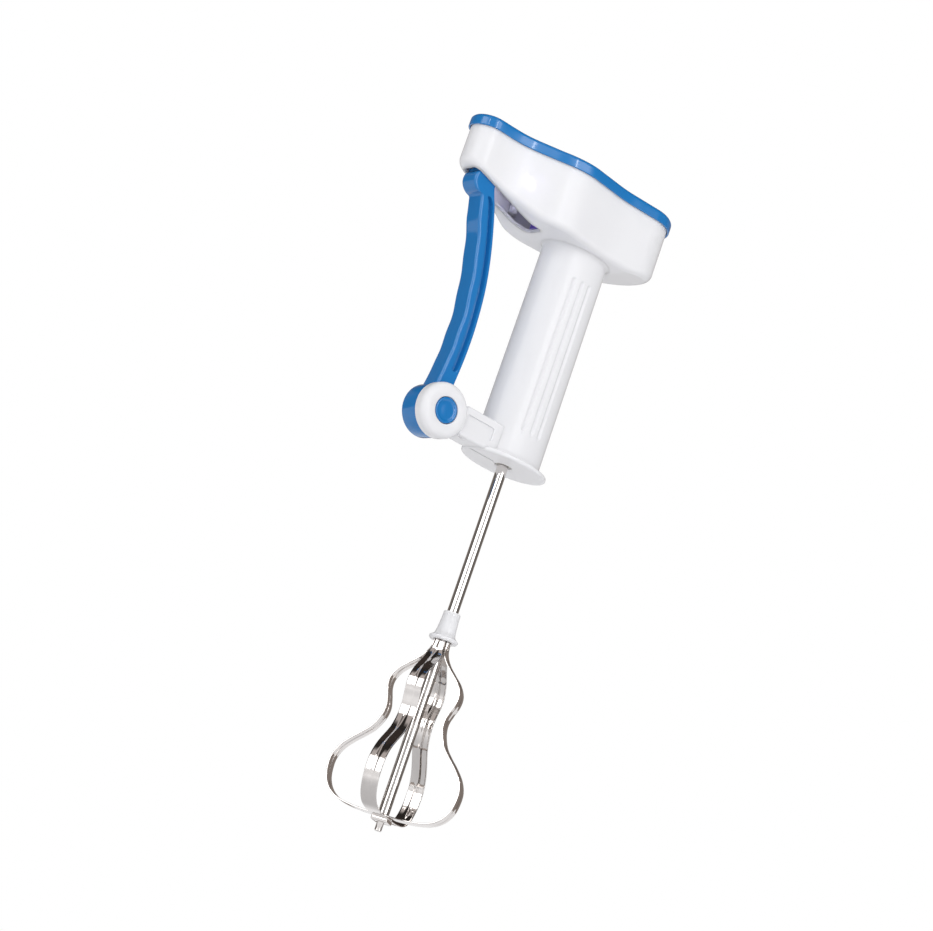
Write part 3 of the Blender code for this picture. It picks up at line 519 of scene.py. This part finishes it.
def make_arm():
    outline = rounded_box(HUB_X + 13.2, -6.0, ARM_LOW, ARM_HIGH, 1.4, 5)
    bm = lofted(plate_xz(outline, ARM_NEAR, ARM_FAR, soft=1.2, steps=5))
    panel = rounded_box(-35.0, -18.0, 190.4, 196.9, 0.9, 5)
    cutters = [lofted(plate_xz(panel, ARM_NEAR - 3.0, ARM_NEAR + 0.8))]
    notch = rounded_box(-34.6, -30.4, -7.6, -6.0, 0.5, 4)
    cutters.append(lofted([[(x, y, z) for x, y in notch] for z in (ARM_LOW - 2.0, ARM_LOW + 1.2)]))
    return finish_piece(cut_away(bm, cutters), "lever_arm", "beater_body", WHITE)


def make_disc():
    bore = PIVOT_R + 0.3
    seat = CAP_R + 0.3
    edge = 3.4
    profile = [(bore, DISC_FAR), (DISC_R - 0.4, DISC_FAR), (DISC_R, DISC_FAR - 0.4)]
    profile += [(x, y) for x, y in arc((DISC_R - edge, DISC_NEAR + edge), edge, 0, -90, 14)]
    profile += [(seat + 0.45, DISC_NEAR), (seat + 0.1, DISC_NEAR + 0.12), (seat, DISC_NEAR + 0.45)]
    profile += [(seat, DISC_NEAR + 2.8), (bore, DISC_NEAR + 2.8)]
    bm = bmesh.new()
    add_turned(bm, profile, (HUB_X, HUB_Z), "Y")
    return finish_piece(bm, "hub_disc", "beater_body", WHITE)


def make_cap():
    face = DISC_NEAR - 0.05
    profile = [(0.0, DISC_NEAR + 2.5), (CAP_R, DISC_NEAR + 2.5), (CAP_R, face + 0.55)]
    profile += arc((CAP_R - 0.55, face + 0.55), 0.55, 0, -90, 6)[1:]
    profile += [(CAP_R - 0.95, face + 0.02), (CAP_R - 1.25, face + 0.14), (CAP_R - 1.6, face + 0.33)]
    profile += [(CAP_R - 2.1, face + 0.42), (2.6, face + 0.30), (1.3, face + 0.22), (0.0, face + 0.20)]
    bm = bmesh.new()
    add_turned(bm, profile, (HUB_X, HUB_Z), "Y")
    return finish_piece(bm, "hub_cap", "beater_body", BLUE, nodes=["pivot_cap"])


# ---------------------------------------------------------------- lid


def make_lid():
    skirt = LID_OVERHANG - 0.3
    rings = []

    def level(inset, z):
        rings.append([(x, y, z) for x, y in head_outline(inset)])

    level(skirt + 1.0, LID_PLATE)
    level(skirt, LID_PLATE)
    level(skirt, LID_LOW + 0.2)
    level(skirt - 0.25, LID_LOW)
    for out, up in arc((0.0, 0.0), 0.35, 270, 360, 4):
        level(0.35 - out, LID_LOW + 0.35 + up)
    side, rise = 2.6, 2.2
    level(0.0, LID_TOP - rise - 0.6)
    for k in range(11):
        angle = math.pi / 2 * k / 10
        level(side * (1 - math.cos(angle)), LID_TOP - rise + rise * math.sin(angle))
    level(side + 1.0, LID_TOP)
    bm = lofted(rings, strips=True)

    cutters = []
    for x, y in SCREWS:
        seat = [(0, 331), (1.75, 331), (1.75, 333.0), (3.3, 334.4), (3.3, 336), (0, 336)]
        tool = bmesh.new()
        add_turned(tool, seat, (x, y), steps=48)
        cutters.append(tool)
    bm = cut_away(bm, cutters)

    add_turned(bm, [(3.3, 328.8), (5.0, 328.8), (5.0, LID_PLATE + 0.3), (3.3, LID_PLATE + 0.3)], steps=48)
    post = [(1.8, 329.4), (4.0, 329.4), (4.0, LID_PLATE + 0.3), (1.8, LID_PLATE + 0.3)]
    add_turned(bm, post, (GEAR_X, GEAR_Y), steps=48)
    for left, right, low in ((-56, -40, 322.2), (7, 21, 319.9)):
        rib = rounded_box(left, right, -6.6, -4.8, 0.5, 3)
        add_loft(bm, [[(x, y, z) for x, y in rib] for z in (low, LID_PLATE + 0.3)])
    return finish_piece(bm, "lid_cover", "beater_body", BLUE, nodes=["lid"])


# ---------------------------------------------------------------- lever


def lever_edges(count):
    """The lever's outer and inner edges in the XZ plane, hub to tip, as pairs of points."""
    outer = [(-56.6, 199), (-55.0, 207), (-53.9, 216), (-53.3, 226), (-53.2, 238), (-54.3, 249), (-56.0, 259),
             (-58.1, 269), (-60.6, 278), (-63.6, 287), (-66.6, 297.6)]
    knuckle = [(-67.3, 298.5), (-69.8, 299.0), (-72.2, 300.9), (-73.4, 303.6), (-73.1, 306.8), (-71.8, 308.6),
               (-71.8, 312.4), (-69.1, 317.0)]
    inner = [(-46.2, 199), (-45.5, 208), (-44.7, 219), (-44.4, 231), (-44.9, 243), (-46.1, 255), (-48.1, 266),
             (-50.9, 277), (-54.2, 287.5), (-57.0, 295.4)]
    upper_inner = [(-57.0, 295.4), (-60.6, 303.5), (-61.2, 309.0), (-61.6, 312.6), (-61.75, 316.5)]
    low_out = resample(smooth_path(outer, 8), count)
    low_in = resample(smooth_path(inner, 8), count)
    high_count = count // 3
    high_out = resample(smooth_path(knuckle, 8), high_count)
    high_in = resample(smooth_path(upper_inner, 8), high_count + 1)[1:]
    waves = []
    for x, z in low_out:
        fade = smoothstep(z, 210, 225) * (1 - smoothstep(z, 286, 294))
        waves.append((x - WAVE * fade * math.cos(2 * math.pi * (z - 232) / WAVE_PITCH), z))
    pairs = list(zip(waves + high_out, low_in + high_in))
    for angle in (155, 142, 130, 120):
        radians = math.radians(angle)
        half = TIP_HALF * math.sin(radians)
        x = TIP_HALF * math.cos(radians)
        pairs.append(((PIN_X + x, PIN_Z + half), (PIN_X - x, PIN_Z + half)))
    return pairs


def lever_section(width, half, soft, sink):
    """Half of the bar's section as (distance from the outer edge, y), from the outer to the inner edge."""
    points = [(0.0, 0.0), (0.0, (half - soft) * 0.6)] + arc((soft, half - soft), soft, 180, 90, 6)
    for back in (width - soft - 0.6, 5.2, 4.95, 4.75, 4.55, 4.3, 3.7, 3.1, 2.5, 2.25, 2.05, 1.85, 1.6, 1.3):
        at = width - back if back < width - soft - 0.7 else soft + 0.6
        points.append((max(at, soft + 0.5), half - sink(width - at)))
    inner_soft = 0.6
    points += arc((width - inner_soft, half - inner_soft), inner_soft, 90, 0, 5)
    points += [(width, (half - inner_soft) * 0.6), (width, 0.0)]
    return points


def make_lever():
    count = 260
    pairs = lever_edges(count)
    rings = []
    for k, (out, into) in enumerate(pairs):
        width = math.dist(out, into)
        ux, uz = (into[0] - out[0]) / width, (into[1] - out[1]) / width
        z = into[1]
        half = LEVER_HALF
        if out[1] > TONGUE_Z + 0.5:
            half = TONGUE_HALF

        def sink(back, z=z):
            beyond = max(CHANNEL_LOW - z, z - CHANNEL_HIGH, 0.0)
            away = math.hypot(back - 3.3, beyond)
            return CHANNEL_DEPTH * (1 - smoothstep(away, 1.1, 1.62))

        section = lever_section(width, half, 1.25, sink)
        ring = [(out[0] + ux * u, v, out[1] + uz * u) for u, v in section]
        ring += [(out[0] + ux * u, -v, out[1] + uz * u) for u, v in reversed(section[1:-1])]
        rings.append(ring)
    bm = lofted(rings)
    hole = bmesh.new()
    add_turned(hole, [(0, -8), (PIN_R, -8), (PIN_R, 8), (0, 8)], (PIN_X, PIN_Z), "Y", 32)
    bm = cut_away(bm, [hole])

    profile = [(3.3, DRUM_NEAR), (5.6, DRUM_NEAR), (5.6, 1.6), (11.4, 1.6), (11.4, DRUM_NEAR)]
    profile += arc((DRUM_R - 0.7, DRUM_NEAR + 0.7), 0.7, -90, 0, 5)
    profile += arc((DRUM_R - 1.0, DRUM_FAR - 1.0), 1.0, 0, 90, 6)
    profile += [(3.9, DRUM_FAR), (3.3, DRUM_FAR - 0.5)]
    add_turned(bm, profile, (HUB_X, HUB_Z), "Y")
    return finish_piece(bm, "lever_bar", "squeeze_lever", BLUE, sharp=40, nodes=["lever"])


# ---------------------------------------------------------------- shaft and whisk


def make_shaft():
    groove_r = SHAFT_R - 0.6
    profile = [(0, 0), (TIP_R - 0.45, 0)]
    profile += arc((TIP_R - 0.45, 0.45), 0.45, -80, 0, 4)
    profile += [(TIP_R, SHOULDER_Z - 0.25), (TIP_R + 0.1, SHOULDER_Z), (SHAFT_R - 0.3, SHOULDER_Z)]
    profile += [(SHAFT_R, SHOULDER_Z + 0.3), (SHAFT_R, CLIP_Z)]
    profile += [(groove_r, CLIP_Z), (groove_r, CLIP_Z + 1.2)]
    profile += [(SHAFT_R, CLIP_Z + 1.2), (SHAFT_R, JOURNAL_Z - 0.3), (SHAFT_R - 0.3, JOURNAL_Z)]
    profile += [(JOURNAL_R, JOURNAL_Z), (JOURNAL_R, SHAFT_TOP - 0.4)]
    profile += [(JOURNAL_R - 0.4, SHAFT_TOP), (0, SHAFT_TOP)]
    bm = bmesh.new()
    add_turned(bm, profile)
    return finish_piece(bm, "bright_shaft", "whisk_shaft", STEEL, nodes=["main_shaft"])


def make_collar():
    z = COLLAR_Z
    seat = z + 4.0
    profile = [(4.5, z + 0.3), (4.8, z)]
    profile += arc((6.45, z + 0.5), 0.5, -90, 0, 5)
    profile += [(7.1, z + 0.75)] + arc((6.75, z + 1.35), 0.35, 0, 90, 4)
    profile += [(6.4, z + 1.85), (6.15, z + 2.2), (5.75, z + 2.45)]
    cone = [(5.45, z + 2.75), (5.15, z + 3.3), (4.85, z + 4.6), (4.5, z + 7.6), (4.15, z + 13.0)]
    profile += smooth_path(cone, 4)
    profile += arc((3.75, COLLAR_TOP - 0.42), 0.42, 10, 90, 4)
    profile += [(SHAFT_R + 0.3, COLLAR_TOP), (SHAFT_R + 0.3, seat), (4.5, seat)]
    bm = bmesh.new()
    add_turned(bm, profile)
    return finish_piece(bm, "collar_cone", "whisk_shaft", WHITE, nodes=["whisk_collar"])


BLADE = [
    (3.4, 98.6), (3.4, 93.8), (4.1, 88.8), (6.6, 84.7), (10.6, 80.8), (14.8, 76.8),
    (17.5, 72.0), (17.6, 67.2), (16.0, 62.2), (14.9, 57.5), (15.6, 52.5), (18.2, 46.8),
    (21.8, 42.7), (26.2, 38.5), (30.2, 33.8), (32.5, 28.8), (32.9, 24.0), (31.9, 18.0),
    (29.0, 13.2), (24.2, 9.9), (18.0, 8.3), (10.0, 7.6), (4.0, 7.5),
]


def make_loop(name, turn, drop, node):
    """A bent steel strip with rounded edges and a pressed rib, with a tear-shaped hole at each upper end."""
    half = []
    for radius, height in smooth_path(BLADE, 6):
        half.append((radius, height - drop * (1 - smoothstep(height, 8, 18))))
    path = half + [(-radius, height) for radius, height in reversed(half)]
    path = resample(path, 480)
    steps = 16
    rings = []
    for k, (radius, height) in enumerate(path):
        before = path[max(k - 1, 0)]
        after = path[min(k + 1, len(path) - 1)]
        length = math.dist(before, after)
        normal = ((after[1] - before[1]) / length, -(after[0] - before[0]) / length)
        near_collar = smoothstep(height, 86, 92.5)
        width = STRIP_W + (STRIP_END_W - STRIP_W) * near_collar
        soft = STRIP_T / 2
        top = []
        for n in range(steps + 1):
            share = -1 + 2 * n / steps
            v = share * (width / 2 - soft)
            rib = 0.22 * (1 - smoothstep(abs(v), 0.45, 1.15)) * (1 - near_collar)
            rib *= smoothstep(height, 9.5, 16)
            top.append((v, rib))
        ring = []
        profile = [(v, soft + rib) for v, rib in top]
        side = width / 2 - soft
        profile += [(side + soft * math.cos(a), soft * math.sin(a)) for a in (0.9, 0.3, -0.3, -0.9)]
        profile += [(v, -soft + rib) for v, rib in reversed(top)]
        profile += [(-side - soft * math.cos(a), soft * math.sin(a)) for a in (-0.9, -0.3, 0.3, 0.9)]
        for v, out in profile:
            u = radius + out * normal[0]
            w = height + out * normal[1]
            x = u * math.cos(turn) - v * math.sin(turn)
            y = u * math.sin(turn) + v * math.cos(turn)
            ring.append((x, y, w))
        rings.append(ring)
    bm = lofted(rings)

    hole = bmesh.new()
    add_turned(hole, [(0, 0), (TIP_R + 0.3, 0), (TIP_R + 0.3, SHOULDER_Z + 3), (0, SHOULDER_Z + 3)], steps=32)
    cutters = [hole]
    tear = arc((0.0, 91.3), 1.15, 180, 360, 10) + [(1.1, 92.6), (0.8, 95.0), (0.7, 97.6), (-0.7, 97.6)]
    tear += [(-0.8, 95.0), (-1.1, 92.6)]
    for side in (-1, 1):
        rings = []
        for u in (1.2, 9.0):
            ring = []
            for v, z in tear:
                x = side * u * math.cos(turn) - v * math.sin(turn)
                y = side * u * math.sin(turn) + v * math.cos(turn)
                ring.append((x, y, z))
            rings.append(ring)
        cutters.append(lofted(rings))
    return finish_piece(cut_away(bm, cutters), name, "whisk_shaft", STEEL, nodes=[node])


def make_end_clip():
    """The folded plate under the crossed strips."""
    c, s = math.cos(LOOP_TURN), math.sin(LOOP_TURN)
    half, thick, low, lip = 4.1, 0.5, 4.3, 6.3
    levels = [(0.5, low), (0.15, low + 0.12), (0.0, low + 0.45), (0.0, lip - 0.1)]
    levels += [(0.12, lip), (thick - 0.1, lip)]
    levels += [(thick, lip - 0.1), (thick, low + thick + 0.2), (thick + 0.2, low + thick)]
    rings = []
    for inset, z in levels:
        edge = half - inset
        corners = rounded_box(-edge, edge, -edge, edge, 0.5, 4)
        rings.append([(x * c - y * s, x * s + y * c, z) for x, y in corners])
    hole = bmesh.new()
    add_turned(hole, [(0, 0), (TIP_R + 0.3, 0), (TIP_R + 0.3, 12), (0, 12)], steps=32)
    bm = cut_away(lofted(rings), [hole])
    return finish_piece(bm, "folded_clip", "whisk_shaft", STEEL, nodes=["end_clip"])


make_head()
make_grip()
make_flange()
make_arm()
make_disc()
make_cap()
make_lid()
make_lever()
make_shaft()
make_collar()
make_loop("strip_upper", LOOP_TURN, 0.0, "whisk_loop_upper")
make_loop("strip_lower", LOOP_TURN + math.pi / 2, 0.9, "whisk_loop_lower")
make_end_clip()

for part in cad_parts.values():
    named = part.data.materials[0].name.split(".")[0] if part.data.materials else "nylon"
    part.data.materials.clear()
    part.data.materials.append(LOOKS.get(named, LOOKS["nylon"]))


# ---------------------------------------------------------------- floor, light and camera

AZIMUTH, ELEVATION, ROLL = math.radians(-34.0), math.radians(-14.5), math.radians(19.16)
TARGET = Vector((-15.18, 7.37, 179.24)) * MM
DISTANCE = 1.300
LENS = 104.4
FLOOR_Z = -0.36
FLOOR_HALF = 6.0
WHITE_LIGHT = (1.0, 1.0, 1.0)

back = Vector((
    math.sin(AZIMUTH) * math.cos(ELEVATION),
    -math.cos(AZIMUTH) * math.cos(ELEVATION),
    math.sin(ELEVATION),
))
level_right = Vector((math.cos(AZIMUTH), math.sin(AZIMUTH), 0.0))
level_up = back.cross(level_right)
right = math.cos(ROLL) * level_right + math.sin(ROLL) * level_up
up = -math.sin(ROLL) * level_right + math.cos(ROLL) * level_up


def make_camera():
    camera = bpy.data.objects.new("camera", bpy.data.cameras.new("camera"))
    bpy.context.scene.collection.objects.link(camera)
    camera.data.lens = LENS
    camera.data.sensor_width = 36.0
    camera.data.clip_start = 0.05
    camera.data.clip_end = 50.0
    turn = Matrix((right, up, back)).transposed().to_4x4()
    camera.matrix_world = Matrix.Translation(TARGET + back * DISTANCE) @ turn
    bpy.context.scene.camera = camera


def make_floor():
    """A pale floor that glows with painted light, more strongly away from the middle, so that it runs into
    the white backdrop.
    """
    bm = bmesh.new()
    rows = []
    for y in (-FLOOR_HALF, FLOOR_HALF):
        rows.append([bm.verts.new((x, y, 0.0)) for x in (-FLOOR_HALF, FLOOR_HALF)])
    bm.faces.new((rows[0][0], rows[0][1], rows[1][1], rows[1][0]))
    mesh = bpy.data.meshes.new("floor")
    bm.to_mesh(mesh)
    bm.free()
    look = bpy.data.materials.new("floor")
    look.use_nodes = True
    tree = look.node_tree
    shader = tree.nodes["Principled BSDF"]
    shader.inputs["Base Color"].default_value = (0.88, 0.88, 0.89, 1)
    shader.inputs["Roughness"].default_value = 0.9
    shader.inputs["Emission Color"].default_value = (1.0, 1.0, 1.0, 1)
    place = tree.nodes.new("ShaderNodeTexCoord")
    away = tree.nodes.new("ShaderNodeVectorMath")
    away.operation = "LENGTH"
    tree.links.new(place.outputs["Object"], away.inputs[0])
    # painted glow: the floor's emission rises from 0.12 near the middle to 0.50 further out, and this glow
    # also lights the beater from below
    fade = tree.nodes.new("ShaderNodeMapRange")
    for socket, value in (("From Min", 0.45), ("From Max", 1.1), ("To Min", 0.12), ("To Max", 0.50)):
        fade.inputs[socket].default_value = value
    tree.links.new(away.outputs["Value"], fade.inputs["Value"])
    tree.links.new(fade.outputs["Result"], shader.inputs["Emission Strength"])
    mesh.materials.append(look)
    floor = bpy.data.objects.new("floor", mesh)
    floor.location.z = FLOOR_Z
    bpy.context.scene.collection.objects.link(floor)


def add_light(name, direction, distance, size, power, tint=(1.0, 1.0, 1.0)):
    light = bpy.data.lights.new(name, "AREA")
    light.shape = "RECTANGLE"
    light.size, light.size_y = size
    light.energy = power
    light.color = tint
    lamp = bpy.data.objects.new(name, light)
    bpy.context.scene.collection.objects.link(lamp)
    toward = direction.normalized()
    lamp.location = TARGET + toward * distance
    lamp.rotation_mode = "QUATERNION"
    lamp.rotation_quaternion = toward.to_track_quat("Z", "Y")


def add_glow():
    """The light that comes through the head's thin walls into the room behind the lever's slot."""
    light = bpy.data.lights.new("glow", "POINT")
    light.energy = 0.004
    light.color = (0.80, 0.78, 1.0)
    light.shadow_soft_size = 0.0
    lamp = bpy.data.objects.new("glow", light)
    bpy.context.scene.collection.objects.link(lamp)
    lamp.location = Vector((-46.0, -9.5, 314.0)) * MM


def make_world():
    """A pale room for matt surfaces, a banded one for gloss, and plain white for the camera itself."""
    world = bpy.data.worlds.new("studio")
    bpy.context.scene.world = world
    world.use_nodes = True
    tree = world.node_tree
    tree.nodes.clear()
    place = tree.nodes.new("ShaderNodeTexCoord")

    def along(vector, direction):
        """The part of a direction that points one way, from 0 to 1."""
        dot = tree.nodes.new("ShaderNodeVectorMath")
        dot.operation = "DOT_PRODUCT"
        dot.inputs[1].default_value = direction.normalized()
        tree.links.new(vector, dot.inputs[0])
        share = tree.nodes.new("ShaderNodeMapRange")
        share.inputs["From Min"].default_value = -1.0
        tree.links.new(dot.outputs["Value"], share.inputs["Value"])
        return share.outputs["Result"]

    def bands(value, stops):
        ramp = tree.nodes.new("ShaderNodeValToRGB")
        elements = ramp.color_ramp.elements
        while len(elements) < len(stops):
            elements.new(1.0)
        for element, (position, colour) in zip(elements, stops):
            element.position = position
            element.color = (*colour, 1.0)
        tree.links.new(value, ramp.inputs["Fac"])
        return ramp.outputs["Color"]

    def times(a, b):
        node = tree.nodes.new("ShaderNodeVectorMath")
        node.operation = "MULTIPLY"
        tree.links.new(a, node.inputs[0])
        tree.links.new(b, node.inputs[1])
        return node.outputs["Vector"]

    def background(colour, strength):
        node = tree.nodes.new("ShaderNodeBackground")
        node.inputs["Strength"].default_value = strength
        if isinstance(colour, tuple):
            node.inputs["Color"].default_value = colour
        else:
            tree.links.new(colour, node.inputs["Color"])
        return node.outputs["Background"]

    def choose(share, low, high):
        node = tree.nodes.new("ShaderNodeMixShader")
        tree.links.new(share, node.inputs["Fac"])
        tree.links.new(low, node.inputs[1])
        tree.links.new(high, node.inputs[2])
        return node.outputs["Shader"]

    flat = tree.nodes.new("ShaderNodeVectorMath")
    flat.operation = "MULTIPLY"
    flat.inputs[1].default_value = (1.0, 1.0, 0.0)
    tree.links.new(place.outputs["Generated"], flat.inputs[0])
    level = tree.nodes.new("ShaderNodeVectorMath")
    level.operation = "NORMALIZE"
    tree.links.new(flat.outputs["Vector"], level.inputs[0])

    dim, dark, brown = (0.27, 0.27, 0.28), (0.030, 0.028, 0.026), (0.048, 0.041, 0.037)
    strong, softbox, centre = (0.62, 0.62, 0.62), (0.25, 0.25, 0.25), (0.105, 0.105, 0.105)
    front = bands(along(place.outputs["Generated"], back), ((0.30, dim), (0.55, WHITE_LIGHT)))
    left = bands(along(place.outputs["Generated"], -right), ((0.60, WHITE_LIGHT), (0.92, (0.64, 0.64, 0.65))))
    matt = background(times(front, left), 0.80)
    turn = bands(
        along(level.outputs["Vector"], Vector((back.x, back.y, 0.0))),
        ((0.24, brown), (0.28, dark), (0.71, dark), (0.77, softbox), (0.80, strong), (0.93, strong),
         (0.955, softbox), (0.970, softbox), (0.980, centre)),
    )
    height = bands(
        along(place.outputs["Generated"], Vector((0.0, 0.0, 1.0))),
        (
            (0.16, (0.46, 0.38, 0.33)),
            (0.20, WHITE_LIGHT),
            (0.755, WHITE_LIGHT),
            (0.785, (0.16, 0.146, 0.140)),
        ),
    )
    gloss = background(times(turn, height), 5.4)
    path = tree.nodes.new("ShaderNodeLightPath")
    seen = choose(path.outputs["Is Glossy Ray"], matt, gloss)
    seen = choose(path.outputs["Is Camera Ray"], seen, background((1.0, 1.0, 1.0, 1.0), 1.0))
    out = tree.nodes.new("ShaderNodeOutputWorld")
    tree.links.new(seen, out.inputs["Surface"])


make_camera()
make_floor()
make_world()
add_light("key", back * 0.7 + right * 0.8 + up * 0.5, 1.3, (0.7, 1.1), 1.3)
add_light("fill", back + up * 0.9 - right * 0.5, 1.5, (0.9, 0.6), 1.0)
add_light("strip_near", Vector((-0.10, -0.96, 0.30)), 1.2, (0.05, 1.0), 1.6)
add_light("strip_left", Vector((-0.74, -0.64, 0.25)), 1.2, (0.05, 1.0), 1.2)
add_glow()
bpy.context.scene.view_settings.view_transform = "Standard"
